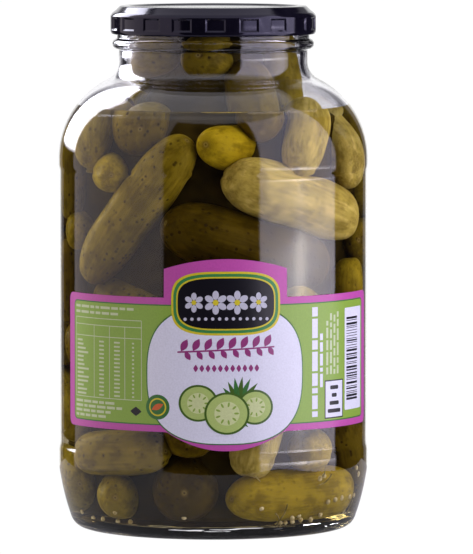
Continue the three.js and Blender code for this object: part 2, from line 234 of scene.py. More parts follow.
def setWorld():
    s = studio
    world = bpy.data.worlds.new("softBoxes")
    bpy.context.scene.world = world
    world.use_nodes = True
    tree = world.node_tree
    tree.nodes.clear()
    towards = addNode(tree, "ShaderNodeTexCoord").outputs["Generated"]
    part = addNode(tree, "ShaderNodeSeparateXYZ", [towards]).outputs
    front = addNode(tree, "ShaderNodeMath", [part["Y"], -1.0], operation="MULTIPLY")
    turn = addNode(tree, "ShaderNodeMath", [part["X"], front], operation="ARCTAN2")
    azimuth = addNode(tree, "ShaderNodeMath", [turn], operation="DEGREES")
    rise = addNode(tree, "ShaderNodeMath", [part["Z"]], operation="ARCSINE")
    height = addNode(tree, "ShaderNodeMath", [rise], operation="DEGREES")
    eitherSide = addNode(tree, "ShaderNodeMath", [azimuth], operation="ABSOLUTE")
    direction = addNode(tree, "ShaderNodeCombineXYZ", [azimuth, height])

    def within(angle, low, high=360):  # 1 between two angles and 0 outside them, with soft edges
        steps = []
        for at in (low, high):
            inputs = {"Value": angle, "From Min": at - s["edge"], "From Max": at + s["edge"]}
            steps.append(addNode(tree, "ShaderNodeMapRange", inputs, interpolation_type="SMOOTHSTEP"))
        return addNode(tree, "ShaderNodeMath", steps, operation="SUBTRACT")

    def lit(under, mask, light):  # lays a light over what is under it, where its mask is 1
        inputs = {"Color": linear(light["colour"]), "Strength": light["strength"]}
        lamp = addNode(tree, "ShaderNodeBackground", inputs)
        return addNode(tree, "ShaderNodeMixShader", [mask, under, lamp])

    inputs = {"Color": linear(s["darkSide"]["colour"]), "Strength": s["darkSide"]["strength"]}
    under = addNode(tree, "ShaderNodeBackground", inputs)
    for name in ("fringe", "backdrop"):
        under = lit(under, within(eitherSide, s[name]["from"]), s[name])
    for name in ("rightBox", "leftBox", "kicker"):
        box = s[name]
        masks = [within(azimuth, box["from"], box["to"]), within(height, box["low"], box["high"])]
        under = lit(under, addNode(tree, "ShaderNodeMath", masks, operation="MULTIPLY"), box)
    inBox = within(azimuth, s["rightBox"]["from"], s["rightBox"]["to"])
    for name in ("glow", "lamp"):  # the right box's lamp behind its cloth
        spot = s[name]
        centre, size = (spot["azimuth"], spot["height"], 0), (spot["wide"], spot["tall"], 1)
        inputs = {"Vector": direction, "Location": centre, "Scale": size}
        away = addNode(tree, "ShaderNodeMapping", inputs, vector_type="TEXTURE")
        squared = addNode(tree, "ShaderNodeVectorMath", [away, away], operation="DOT_PRODUCT")
        fading = addNode(tree, "ShaderNodeMath", [1 / math.e, squared], operation="POWER")
        under = lit(under, addNode(tree, "ShaderNodeMath", [fading, inBox], operation="MULTIPLY"), spot)
    under = lit(under, within(height, s["ceiling"]["from"]), s["ceiling"])
    ray = addNode(tree, "ShaderNodeLightPath")
    under = lit(under, ray.outputs["Is Camera Ray"], s["seenWhite"])
    addNode(tree, "ShaderNodeOutputWorld", {"Surface": under})


setCamera()
layFloor()
setWorld()
bpy.context.scene.view_settings.view_transform = "Standard"
print("stage: camera, floor and light are set")


# The glass, its two sides worked out as in the frame but with finer curves.
glass = {
    "steps": 128,
    "detail": 4,
    "wall": 3,
    "bodyRadius": 64.2,
    "footInner": 49,
    "footOuter": 53,
    "pushUp": 3.5,
    "pushUpEdge": (43, 2.7),
    "footPull": (58.3, 0.3),
    "heelTop": (59.6, 5.5),
    "heelPull": (62.5, 13.5),
    "heelLift": 1.5,
    "bumper": (25, 33),
    "panelRadius": 63.7,
    "panel": (35, 148.5),
    "panelEnd": 2,  # a short ring at each end of the panel, so that its mirror image is not bent in between
    "upperBandFrom": 150.4,
    "shoulderFrom": 153.5,
    "shoulderRadius": 36.6,
    "shoulderTurn": 64,
    "neckFillet": 7.9,
    "neckTo": 198.5,
    "beadRadius": 2.3,
    "beadHeight": 200.95,
    "finishRadius": 39.6,
    "mouthRadius": 36.4,
    "lipRound": 1.2,
    "top": 214.9,
    "floor": 5.5,
    "floorCrown": 0.4,
    "floorRadius": 50,
    "floorFillet": 5,
    "cornerEase": 0.9,
    "ior": 1.5,
    "tint": "#f6f5fa",
    "passes": 0.97,  # the share of scattered light that goes straight through
    "ripple": 38,
    "flowLines": (26, 26, 2.2),  # how long and how high the flow lines in the foot are
    "flowFade": (4, 7),
}
brine = {
    "surface": 172.5,
    "meniscus": 1.7,
    "meniscusReach": 1.3,
    "climbSteps": (0, 0.25, 0.55, 0.95, 1.5, 2.3, 3.5, 5.5),
    "innerRing": 30,
    "intoWall": 0.2,
    "ior": 1.34,
    "tint": "#fbf3d2",
}


def outerSide(detail):
    g = glass
    shoulderX = g["bodyRadius"] - g["shoulderRadius"]
    turn = math.radians(g["shoulderTurn"])
    shoulderEnd = g["shoulderFrom"] + g["shoulderRadius"] * math.sin(turn)
    neckRadius = shoulderX + g["shoulderRadius"] * math.cos(turn) - g["neckFillet"] * (1 - math.cos(turn))
    filletX, filletY = neckRadius + g["neckFillet"], shoulderEnd + g["neckFillet"] * math.sin(turn)
    foot, bumper = (g["footOuter"], 0), (g["bodyRadius"], g["bumper"][0])
    return [
        foot,
        *sweep(foot, g["footPull"], g["heelTop"], 3 * detail),
        *sweep(g["heelTop"], g["heelPull"], bumper, 3 * detail),
        (g["bodyRadius"], g["bumper"][1]),
        (g["panelRadius"], g["panel"][0]),
        (g["panelRadius"], g["panel"][0] + g["panelEnd"]),
        (g["panelRadius"], g["panel"][1] - g["panelEnd"]),
        (g["panelRadius"], g["panel"][1]),
        (g["bodyRadius"], g["upperBandFrom"]),
        (g["bodyRadius"], g["shoulderFrom"]),
        *arc(shoulderX, g["shoulderFrom"], g["shoulderRadius"], 0, g["shoulderTurn"], 6 * detail),
        *arc(filletX, filletY, g["neckFillet"], 180 + g["shoulderTurn"], 180, 3 * detail),
        (neckRadius, g["neckTo"]),
        *arc(g["finishRadius"], g["beadHeight"], g["beadRadius"], -70, 80, 4 * detail),
    ]


def innerSide(detail):  # from the middle of the floor up to the mouth
    g = glass
    inside = g["bodyRadius"] - g["wall"]
    arcRadius = g["shoulderRadius"] - g["wall"]
    shoulderX = inside - arcRadius
    turn = math.radians(g["shoulderTurn"])
    fillet = g["neckFillet"] + g["wall"]
    neckRadius = shoulderX + arcRadius * math.cos(turn) - fillet * (1 - math.cos(turn))
    filletY = g["shoulderFrom"] + (arcRadius + fillet) * math.sin(turn)
    floorCorner = arc(g["floorRadius"], g["floor"] + g["floorFillet"], g["floorFillet"], -90, -30, 2 * detail)
    heelPull = (g["heelTop"][0] - g["wall"] / 4, g["floor"] + g["heelTop"][1] + g["heelLift"])
    return [
        (0, g["floor"] + g["floorCrown"]),
        (g["floorRadius"] * 0.6, g["floor"] + g["floorCrown"] * 0.7),
        (g["floorRadius"], g["floor"]),
        *floorCorner,
        *sweep(floorCorner[-1], heelPull, (inside, g["bumper"][0] + 1), 3 * detail),
        (inside, g["shoulderFrom"]),
        *arc(shoulderX, g["shoulderFrom"], arcRadius, 0, g["shoulderTurn"], 4 * detail),
        *arc(neckRadius + fillet, filletY, fillet, 180 + g["shoulderTurn"], 180, 2 * detail),
        (g["mouthRadius"], g["beadHeight"]),
        (g["mouthRadius"], g["top"] - g["lipRound"] / 2),
    ]


def letLightThrough(tree, shader):  # lamps and scattered light pass the glass straight, so the food is lit
    ray = addNode(tree, "ShaderNodeLightPath").outputs
    either = addNode(tree, "ShaderNodeMath", [ray["Is Shadow Ray"], ray["Is Diffuse Ray"]], operation="MAXIMUM")
    clear = addNode(tree, "ShaderNodeBsdfTransparent", {"Color": (*[glass["passes"]] * 3, 1)})
    mixed = addNode(tree, "ShaderNodeMixShader", [either, shader, clear])
    addNode(tree, "ShaderNodeOutputMaterial", {"Surface": mixed})


def sodaLimeGlass():  # container glass, blown in a mould: colourless, faintly grey, with a long shallow ripple
    g = glass
    made, tree = newMaterial("sodaLimeGlass")
    at = addNode(tree, "ShaderNodeTexCoord").outputs["Object"]
    ripple = addNode(tree, "ShaderNodeTexNoise", {"Vector": at, "Scale": 1 / (g["ripple"] * mm), "Detail": 1.0})
    soft = addNode(tree, "ShaderNodeBump", {"Height": ripple, "Strength": 0.35, "Distance": 0.5 * mm})
    spacing = [1 / (reach * mm) for reach in g["flowLines"]]
    layered = addNode(tree, "ShaderNodeMapping", {"Vector": at, "Scale": spacing})
    flow = addNode(tree, "ShaderNodeTexNoise", {"Vector": layered, "Scale": 1.0, "Detail": 2.0})
    height = addNode(tree, "ShaderNodeSeparateXYZ", [at]).outputs["Z"]
    low, high = g["flowFade"]
    fade = {"Value": height, "From Min": low * mm, "From Max": high * mm, "To Min": 1.0, "To Max": 0.0}
    inFoot = addNode(tree, "ShaderNodeMapRange", fade)
    relief = {"Height": flow, "Strength": inFoot, "Distance": 0.8 * mm, "Normal": soft}
    bump = addNode(tree, "ShaderNodeBump", relief)
    surface = addNode(
        tree,
        "ShaderNodeBsdfPrincipled",
        {
            "Base Color": linear(g["tint"]),
            "Roughness": 0.0,
            "IOR": g["ior"],
            "Transmission Weight": 1.0,
            "Normal": bump,
        },
    )
    letLightThrough(tree, surface)
    return made


def clearSide(name, tint, ior):  # a clear face that bends light but hardly mirrors it
    made, tree = newMaterial(name)
    inputs = {"Color": linear(tint), "Roughness": 0.0, "IOR": ior}
    letLightThrough(tree, addNode(tree, "ShaderNodeBsdfRefraction", inputs))
    return made


def brineTop():  # the open surface of thin salt and vinegar brine, mirror smooth, tinged yellow by the pickles
    made, tree = newMaterial("brineSurface")
    inputs = {"Base Color": linear(brine["tint"]), "Roughness": 0.0, "IOR": brine["ior"]}
    surface = addNode(tree, "ShaderNodeBsdfPrincipled", {**inputs, "Transmission Weight": 1.0})
    letLightThrough(tree, surface)
    return made


def blowGlass():
    g = glass
    profile = [
        (0, g["pushUp"]),
        g["pushUpEdge"],
        (g["footInner"], 0),
        *outerSide(g["detail"]),
        (g["finishRadius"], g["top"] - g["lipRound"]),
        (g["finishRadius"] - g["lipRound"], g["top"]),
        (g["mouthRadius"] + g["lipRound"] / 2, g["top"]),
        *reversed(innerSide(g["detail"])),
    ]
    piece = turned("glassJar", eased(profile, g["cornerEase"]), g["steps"])
    wetted = clearSide("wettedGlass", "#ffffff", g["ior"])  # the inside of the wall where brine touches it
    finishPiece(piece, [sodaLimeGlass(), wetted], "glass_jar")
    bodyInside = g["bodyRadius"] - g["wall"] / 2
    for face in piece.data.polygons:
        middle = face.center / mm
        reach = math.hypot(middle.x, middle.y)
        inwards = face.normal.x * middle.x + face.normal.y * middle.y < 0
        onFloor = face.normal.z > 0.5 and middle.z < g["floor"] + g["floorFillet"]
        if middle.z < brine["surface"] and reach < bodyInside and (onFloor or inwards and middle.z > g["floor"]):
            face.material_index = 1


def pourBrine():
    b = brine
    rim = b["surface"] + b["meniscus"]
    floorZone = glass["floor"] + 2
    side = [
        (r + b["intoWall"] if r else 0, z - b["intoWall"] * (z < floorZone))
        for r, z in innerSide(glass["detail"])
    ]
    wetted = [p for p in side if p[1] < b["surface"] - 1]
    above = next(p for p in side if p[1] > rim)
    below = wetted[-1]
    share = (rim - below[1]) / (above[1] - below[1])
    edge = below[0] + (above[0] - below[0]) * share
    climb = [
        (edge - b["intoWall"] - out, b["surface"] + b["meniscus"] * math.exp(-out / b["meniscusReach"]))
        for out in b["climbSteps"]
    ]
    top = [(edge, rim), *climb, (b["innerRing"], b["surface"]), (0, b["surface"])]
    piece = turned("brine", [*wetted, *top], glass["steps"])
    against = clearSide("brineAgainstGlass", b["tint"], b["ior"])  # bent as glass and brine together bend it
    finishPiece(piece, [against, brineTop()])
    for face in piece.data.polygons:
        if face.normal.z > 0.1 and face.center.z > (b["surface"] - 1) * mm:
            face.material_index = 1


blowGlass()
pourBrine()
print("stage: glass and brine are made")


# The gherkins that show from the front, and four that fill the neck. Each row gives a girth radius,
# then for each of the two rounded ends the azimuth, the height and the distance from the jar's axis
# of its centre, and last a tone from 0, dark, to 1, pale, which is partly the gherkin's own colour and
# partly painted light: paler where light falls on it, darker where it lies in shade.
shownGherkins = [
    [11.2, -60, 114.5, 49.4, -20, 156, 49, 0.62],
    [12.8, 18.5, 145.5, 47.6, 68, 130, 47.6, 0.98],
    [14, -8, 125.5, 46, 46, 115, 44, 0.22],
    [8.6, 0.5, 161, 50, 25, 160.5, 31, 0.86],
    [10, -65, 159, 50.4, -75, 167, 43, 0.72],
    [12.4, -39, 166, 41, -76, 166, 20, 0.5],
    [8.4, -45, 147, 50, -95, 148, 27, 0.8],
    [8.8, -83, 158, 51.5, -83, 137, 51.5, 0.6],
    [9, -74, 124.5, 51, -108, 124.5, 34, 0.62],
    [9.5, -86, 111, 51, -85, 94, 51, 0.45],
    [11.5, -56, 97, 40, -30, 88, 42, 0.55],
    [9.4, 41, 156, 50.6, 54, 169, 44, 0.95],
    [11, 76, 148.5, 50, 106, 152, 34, 1.0],
    [11, 23, 169, 46, 33, 185, 29, 0.45],
    [11, -6, 194.5, 24, 40, 193, 4, 0.5],
    [9.8, 42, 96.5, 50.4, 54, 83, 49.6, 0.8],
    [10, 78, 104, 50.6, 78, 87, 50.6, 0.75],
    [9.8, -62, 33, 50.8, -29, 36, 50.8, 0.62],
    [10.2, -48, 16.7, 50.2, -62, 16.7, 27, 0.66],
    [13.6, -12, 20, 46.5, -22, 20, 14, 0.2],
    [11, -11, 41, 47, -15, 45, 21, 0.45],
    [10.2, 18, 35, 50.4, 22, 49, 49, 1.0],
    [9.8, 46, 34, 50.8, 51, 34, 29, 0.92],
    [11, 20, 18, 49.5, 66, 17.6, 49.5, 0.84],
    [10.5, -55, 196, 24.5, -112, 190, 24.5, 0.5],
    [11, 70, 180, 25, 92, 199, 24.5, 0.6],
    [11.5, 140, 179, 24, 150, 199, 23.5, 0.45],
    [11.5, -165, 179, 24, -155, 199, 23.5, 0.5],
]
packing = {  # the rest of the heap, drawn by the same rule as in the frame
    "wallCount": 25,
    "coreCount": 9,
    "lowest": 20,
    "highest": 160,
    "wallReach": 48,
    "wallLean": 70,
    "coreReach": 14,
    "coreLean": 80,
    "labelBand": (52, 92),
    "farSide": 170,
    "ceiling": 176,
    "crown": 198,
    "goldenAngle": 137.5,
    "girth": (9.4, 12.6),
    "halfStretch": (14, 22),
    "passes": 260,
    "stiffness": 0.5,
    "squash": 1,
    "shownSquash": 3,
    "shownWeight": 0.02,
    "glassGap": 0.55,
    "slices": 6,  # levels above and below its middle at which a ball is tried against the glass
    "seed": 20917,
}
gherkin = {
    "segments": 32,
    "rings": 40,
    "blunt": 4,
    "round": 0.45,
    "taper": 0.05,  # how much thinner the stem end is
    "lobes": 0.03,  # depth of the three flat sides, as a share of the girth
    "waves": 0.35,
    "waveLengths": (5.3, 3.1),
    "dimple": 0.9,
    "dimpleReach": 2.6,
    "hug": 2.2,  # the most that a gherkin bends to follow the wall
    "hugShare": 0.7,
    "apart": 90,  # how far apart two gherkins read the skin's patterns
    "hiddenTone": (0.3, 0.7),
    "tones": [(0.0, "#2a2204"), (0.4, "#62510b"), (0.7, "#8f7f22"), (0.86, "#ae991c"), (1.0, "#c6b564")],
    "streaks": (3.2, 3.2, 34),
    "streakTint": (1.45, 1.45, 1.9, 1),
    "grain": (1.3, 1.3, 15),
    "mottle": 7,
    "blotch": 17,
    "spineSpacing": 3.0,
    "spine": "#2a1e0c",
    "scar": 2.0,  # radius of the mark that stem and flower leave at the two ends
    "scarRings": [(0.1, "#3a2814"), (0.32, "#a08f50"), (0.6, "#75622c")],
}
heapCore = {
    "steps": 48,
    "covered": 8,
    "radius": 45,
    "shoulder": 155,
    "outline": [(0, 7.2), (42, 7.2), (45, 12), (45, 155), (38, 166), (30, 176), (24, 186), (22, 200), (0, 203)],
    "edge": 5,
}


def drawer(seed):  # a repeatable draw between 0 and 1
    state = [seed]

    def draw():
        state[0] = state[0] * 16807 % 2147483647
        return state[0] / 2147483647

    return draw


innerOutline = innerSide(1)[2:]


def freeReach(height, radius):  # how far from the axis a ball fits inside the glass at each height
    heights, reaches = [z for r, z in innerOutline], [r for r, z in innerOutline]
    free = np.full(len(height), np.inf)
    for i in range(-packing["slices"], packing["slices"] + 1):
        offset = radius * i / packing["slices"]
        wall = np.interp(height + offset, heights, reaches)
        free = np.minimum(free, wall - np.sqrt(np.maximum(0, radius**2 - offset**2)))
    return np.maximum(free, 0)


def looseGherkins():  # before they settle: (girth, end, end, weight, ceiling), the ones that show first
    p = packing
    draw = drawer(p["seed"])
    heap = []
    for girth, az1, z1, r1, az2, z2, r2, _ in shownGherkins:
        heap.append((girth, place(az1, z1, r1), place(az2, z2, r2), p["shownWeight"], p["crown"]))

    def between(low, high):
        return low + (high - low) * draw()

    def add(azimuth, height, reach, lean):
        half = between(*p["halfStretch"])
        girth = between(*p["girth"])
        centre = place(azimuth, height, reach)
        axis = place(azimuth + 90, 0, 1) * math.cos(lean)
        axis.z = math.sin(lean)
        heap.append((girth, centre - axis * half, centre + axis * half, 1, p["ceiling"]))

    span = p["highest"] - p["lowest"]
    for k in range(p["wallCount"]):
        height = p["lowest"] + span * (k + 0.5) / p["wallCount"]
        lean = math.radians(between(-p["wallLean"], p["wallLean"]))
        behindLabel = p["labelBand"][0] < height < p["labelBand"][1]
        turn = k * p["goldenAngle"]
        atBack = 180 + turn % p["farSide"] - p["farSide"] / 2
        add(turn if behindLabel else atBack, height, p["wallReach"], lean)
    for k in range(p["coreCount"]):
        height = p["lowest"] + span * (k + 0.5) / p["coreCount"]
        lean = math.radians(between(-p["coreLean"], p["coreLean"]))
        add(k * p["goldenAngle"], height, p["coreReach"], lean)
    return heap


def settledGherkins():  # lets them push each other and the glass apart until they lie side by side
    p = packing
    heap = looseGherkins()
    girth, weight, ceiling = (np.array([row[i] for row in heap], float) for i in (0, 3, 4))
    a, b = (np.array([row[i] for row in heap], float) for i in (1, 2))
    stretch = np.linalg.norm(b - a, axis=1)
    first, second = np.triu_indices(len(heap), 1)
    squash = np.where(second < len(shownGherkins), p["shownSquash"], p["squash"])
    lowest = glass["floor"] + glass["floorCrown"] + girth + p["glassGap"]

    def keptIn(point):
        held = point.copy()
        held[:, 2] = np.minimum(np.maximum(held[:, 2], lowest), ceiling)
        reach = np.hypot(held[:, 0], held[:, 1])
        free = freeReach(held[:, 2], girth + p["glassGap"])
        held[:, :2] *= np.where(reach > free, free / np.maximum(reach, 1e-9), 1)[:, None]
        return held

    def dot(one, two):
        return (one * two).sum(axis=1)

    for _ in range(p["passes"]):
        u, v, w = b[first] - a[first], b[second] - a[second], a[first] - a[second]
        uu, vv, uv, uw, vw = dot(u, u), dot(v, v), dot(u, v), dot(u, w), dot(v, w)
        across = uu * vv - uv * uv
        s = np.where(across > 1e-9, np.clip((uv * vw - vv * uw) / np.maximum(across, 1e-9), 0, 1), 0.5)
        t = np.clip((uv * s + vw) / vv, 0, 1)
        s = np.clip((uv * t - uw) / uu, 0, 1)
        gap = u * s[:, None] - v * t[:, None] + w
        apart = np.maximum(np.linalg.norm(gap, axis=1), 1e-6)
        overlap = np.maximum(girth[first] + girth[second] - apart - squash, 0)
        push = gap * (p["stiffness"] * overlap / apart / (weight[first] + weight[second]))[:, None]
        moveA, moveB = np.zeros_like(a), np.zeros_like(b)
        np.add.at(moveA, first, push * (weight[first] * (1 - s))[:, None])
        np.add.at(moveB, first, push * (weight[first] * s)[:, None])
        np.add.at(moveA, second, -push * (weight[second] * (1 - t))[:, None])
        np.add.at(moveB, second, -push * (weight[second] * t)[:, None])
        a, b = keptIn(a + moveA), keptIn(b + moveB)
        axis = b - a
        spare = ((stretch / np.maximum(np.linalg.norm(axis, axis=1), 1e-6) - 1) / 2)[:, None]
        a, b = a - axis * spare, b + axis * spare
        middle = (a + b) / 2
        shift = keptIn(middle) - middle
        a, b = keptIn(a + shift), keptIn(b + shift)
    return girth, a, b


def shapeGherkin(blank, index, girth, a, b):  # the blank's points, fitted to their place and made uneven
    g = gherkin
    chance = random.Random(packing["seed"] + index)
    axis = b - a
    half = np.linalg.norm(axis) / 2 + girth
    along = axis / np.linalg.norm(axis)
    middle = (a + b) / 2
    outwards = np.array([middle[0], middle[1], 0.0])
    outwards -= along * outwards.dot(along)
    outwards /= max(np.linalg.norm(outwards), 1e-6)
    across = np.cross(along, outwards)
    x, y, t = blank.T
    angle = np.arctan2(y, x)
    lobeTurn, waveTurn = chance.uniform(0, math.tau), chance.uniform(0, math.tau)
    stemEnd = chance.choice((-1, 1))
    scale = 1 - g["taper"] * (1 + stemEnd * t) / 2
    scale -= g["lobes"] * (1 + np.cos(3 * angle + lobeTurn)) / 2
    long, short = g["waveLengths"]
    waves = np.sin(t * half / long + waveTurn + 2 * angle) + np.sin(t * half / short - 3 * angle + lobeTurn)
    scale -= g["waves"] * (2 + waves) / 4 / girth
    offAxis = np.hypot(x, y) * girth
    pit = g["dimple"] * np.exp(-((offAxis / g["dimpleReach"]) ** 2)) * (np.abs(t) > 0.8)
    free = freeReach(np.array([middle[2]]), np.array([girth + packing["glassGap"]]))[0]
    bend = min(g["hug"], g["hugShare"] * max(0, free - math.hypot(middle[0], middle[1])))
    local = np.stack([x * girth * scale, y * girth * scale, t * half - np.sign(t) * pit], axis=1)
    leaning = local + np.outer(bend * (1 - t**2), [1, 0, 0])
    return middle + leaning @ np.array([outwards, across, along]), local, chance


def shows(girth, a, b):
    reach = max(math.hypot(a[0], a[1]), math.hypot(b[0], b[1])) + girth
    return reach > heapCore["radius"] + heapCore["covered"] or max(a[2], b[2]) > heapCore["shoulder"]


def brinedSkin():  # a pickled gherkin's skin: waxy, wet and half clear, with pale streaks and dark spine marks
    g = gherkin
    made, tree = newMaterial("brinedGherkinSkin")
    skin = addNode(tree, "ShaderNodeAttribute", attribute_name="skinPlace").outputs["Vector"]
    tone = addNode(tree, "ShaderNodeAttribute", attribute_name="tone").outputs["Fac"]
    lengthwise = []
    for spacing in (g["streaks"], g["grain"]):
        drawnOut = addNode(tree, "ShaderNodeMapping", {"Vector": skin, "Scale": [1 / size for size in spacing]})
        inputs = {"Vector": drawnOut, "Scale": 1.0, "Detail": 3.0}
        lengthwise.append(addNode(tree, "ShaderNodeTexNoise", inputs))
    streak, grain = lengthwise
    blotch = addNode(tree, "ShaderNodeTexNoise", {"Vector": skin, "Scale": 1 / g["blotch"], "Detail": 2.0})
    mottle = addNode(tree, "ShaderNodeTexNoise", {"Vector": skin, "Scale": 1 / g["mottle"], "Detail": 4.0})
    cloudy = addNode(tree, "ShaderNodeMath", [mottle, 0.65], operation="MULTIPLY")
    shade = addNode(tree, "ShaderNodeMath", [grain, 0.35, cloudy], operation="MULTIPLY_ADD")
    # the tone ramp gives each gherkin its colour with painted light in it: paler where lit, darker where shaded
    toned = addNode(tree, "ShaderNodeValToRGB", [tone], g["tones"])
    shaded = addNode(tree, "ShaderNodeValToRGB", [shade], [(0.4, "#ccc9bf"), (0.55, "#ffffff")])
    colours = {"Factor": 1.0, "A": toned, "B": shaded}
    flesh = addNode(tree, "ShaderNodeMix", colours, data_type="RGBA", blend_type="MULTIPLY")
    pale = addNode(tree, "ShaderNodeValToRGB", [streak], [(0.50, "#000000"), (0.72, "#ffffff")])
    paleShare = addNode(tree, "ShaderNodeMath", [pale, 0.8], operation="MULTIPLY")
    colours = {"Factor": paleShare, "A": flesh, "B": g["streakTint"]}
    streaked = addNode(tree, "ShaderNodeMix", colours, data_type="RGBA", blend_type="MULTIPLY")
    inputs = {"Vector": skin, "Scale": 1 / g["spineSpacing"], "Randomness": 0.95}
    cell = addNode(tree, "ShaderNodeTexVoronoi", inputs)
    marks = 1.0  # dark spine marks: small spots, in some cells only, in patches, and fainter on pale skin
    for value, low, high, start, end in (
        (cell.outputs["Distance"], 0.14, 0.29, 0.8, 0.0),
        (cell.outputs["Color"], 0.22, 0.32, 0.0, 1.0),
        (blotch, 0.38, 0.46, 0.0, 1.0),
        (tone, 0.6, 0.86, 1.0, 0.25),
    ):
        inputs = {"Value": value, "From Min": low, "From Max": high, "To Min": start, "To Max": end}
        share = addNode(tree, "ShaderNodeMapRange", inputs)
        marks = addNode(tree, "ShaderNodeMath", [marks, share], operation="MULTIPLY")
    colours = {"Factor": marks, "A": streaked, "B": linear(g["spine"])}
    spotted = addNode(tree, "ShaderNodeMix", colours, data_type="RGBA")
    across = addNode(tree, "ShaderNodeVectorMath", [skin, (1, 1, 0)], operation="MULTIPLY")
    offAxis = addNode(tree, "ShaderNodeVectorMath", [across], operation="LENGTH")
    ring = addNode(tree, "ShaderNodeMapRange", {"Value": offAxis, "From Max": g["scar"]})
    scar = addNode(tree, "ShaderNodeValToRGB", [ring], g["scarRings"])
    inputs = {"Value": ring, "From Min": 0.5, "From Max": 1.0, "To Min": 0.7, "To Max": 0.0}
    scarShare = addNode(tree, "ShaderNodeMapRange", inputs)
    scarred = addNode(tree, "ShaderNodeMix", {"Factor": scarShare, "A": spotted, "B": scar}, data_type="RGBA")
    relief = addNode(tree, "ShaderNodeMath", [marks, -1.2, streak], operation="MULTIPLY_ADD")
    bump = addNode(tree, "ShaderNodeBump", {"Height": relief, "Strength": 0.5, "Distance": 0.3 * mm})
    surface = addNode(
        tree,
        "ShaderNodeBsdfPrincipled",
        {
            "Base Color": scarred,
            "Roughness": 0.32,
            "Specular IOR Level": 0.03,
            "Subsurface Weight": 0.25,
            "Subsurface Radius": (1.0, 0.75, 0.2),
            "Subsurface Scale": 2.5 * mm,
            "Normal": bump,
        },
    )
    addNode(tree, "ShaderNodeOutputMaterial", {"Surface": surface})
    return made


def packGherkins():
    g = gherkin
    shares = [-math.cos(math.pi * i / g["rings"]) for i in range(g["rings"] + 1)]
    profile = [(max(0, 1 - abs(t) ** g["blunt"]) ** g["round"], t) for t in shares]
    profile[0], profile[-1] = (0, -1), (0, 1)
    blank = turned("gherkinBlank", profile, g["segments"])
    count = len(blank.data.vertices)
    corners = np.empty(count * 3)
    blank.data.vertices.foreach_get("co", corners)
    corners = corners.reshape(count, 3) / mm
    girth, a, b = settledGherkins()
    copies = []
    for i in range(len(girth)):
        if not shows(girth[i], a[i], b[i]):
            continue
        places, local, chance = shapeGherkin(corners, i, girth[i], a[i], b[i])
        copy = blank.copy()
        copy.data = blank.data.copy()
        bpy.context.collection.objects.link(copy)
        copy.data.vertices.foreach_set("co", (places * mm).ravel())
        skinPlace = copy.data.attributes.new("skinPlace", "FLOAT_VECTOR", "POINT")
        skinPlace.data.foreach_set("vector", (local + [0, 0, g["apart"] * i]).ravel())
        # a shown gherkin's tone is partly its own colour and partly painted light and shade; a hidden one's is
        # random
        tone = shownGherkins[i][7] if i < len(shownGherkins) else chance.uniform(*g["hiddenTone"])
        copy.data.attributes.new("tone", "FLOAT", "POINT").data.foreach_set("value", np.full(count, tone))
        copies.append(copy)
    bpy.data.objects.remove(blank)
    heap = joined(copies, "gherkinHeap")
    bpy.ops.object.mode_set(mode="EDIT")
    bpy.ops.mesh.select_all(action="SELECT")
    bpy.ops.mesh.normals_make_consistent(inside=False)
    bpy.ops.object.mode_set(mode="OBJECT")
    finishPiece(heap, [brinedSkin()], "gherkins")
    print("gherkins:", len(copies), "faces:", len(heap.data.polygons))
    return heap


def cloudedCoat(name, cloud, stops, roughness, specular):  # a dull coat, clouded from one colour to the other
    made, tree = newMaterial(name)
    at = addNode(tree, "ShaderNodeTexCoord").outputs["Object"]
    patch = addNode(tree, "ShaderNodeTexNoise", {"Vector": at, "Scale": 1 / (cloud * mm), "Detail": 2.0})
    colour = addNode(tree, "ShaderNodeValToRGB", [patch], stops)
    inputs = {"Base Color": colour, "Roughness": roughness, "Specular IOR Level": specular}
    surface = addNode(tree, "ShaderNodeBsdfPrincipled", inputs)
    addNode(tree, "ShaderNodeOutputMaterial", {"Surface": surface})
    return made


def fillCore():
    piece = turned("heapMiddle", heapCore["outline"], heapCore["steps"])
    bevelEdges(piece, heapCore["edge"], 15)
    # The imported middle of the heap shows only between gherkins; its dark brown is painted shade, the dusk deep
    # in the heap.
    flesh = cloudedCoat("dimPickleFlesh", 14, [(0.35, "#2c240c"), (0.65, "#463b17")], 0.6, 0.0)
    finishPiece(piece, [flesh], "gherkins")


spice = {
    "radius": 1.15,
    "uneven": 0.12,
    "subdivisions": 3,
    "wallGap": 0.35,
    "count": 20,  # seeds drawn by the same rule as in the frame
    "lowest": 9.4,
    "highest": 24,
    "sunk": 0.35,
    "shapeSeed": 8,
    "stemRadius": 0.28,
    # Seeds that lie against the glass, as azimuth and height.
    "seeds": [
        (31.5, 6.7), (34.2, 6.7), (35.6, 8.7), (37.2, 7.1), (40.6, 7.8), (46.5, 7.6), (51, 9.1), (53.2, 14.2),
        (57.8, 14.8), (62.4, 15.1), (69.5, 15), (74, 15.2), (71, 26.3), (74, 23.6), (45.6, 24.3), (47.6, 25.2),
        (-70, 9.1), (-64.5, 6.9), (-57, 6.9), (-47.5, 6.7), (-40, 6.8),
    ],
    # Bits of dill against the glass: azimuth and height of the lower end, length, lean from upright and bow.
    "dill": [
        (27.5, 6.6, 9, 24, 1.5), (29.5, 6.4, 6, -38, 0.8), (45, 21.8, 8, 62, 1.2), (46.5, 24.8, 5, 15, 0.6),
        (71, 7.8, 6, 22, 0.8), (72.5, 8.2, 5, -30, 0.6), (-86, 40.2, 11, 84, 0.8), (18, 24.5, 3.5, -50, 0.4),
        (150, 12, 10, 35, 1.5), (-150, 30, 9, -60, 1.2),
    ],
}


def againstGlass(azimuth, height, radius):  # where a small ball touches the glass
    free = freeReach(np.array([height]), np.array([radius + spice["wallGap"]]))[0]
    return place(azimuth, height, free)


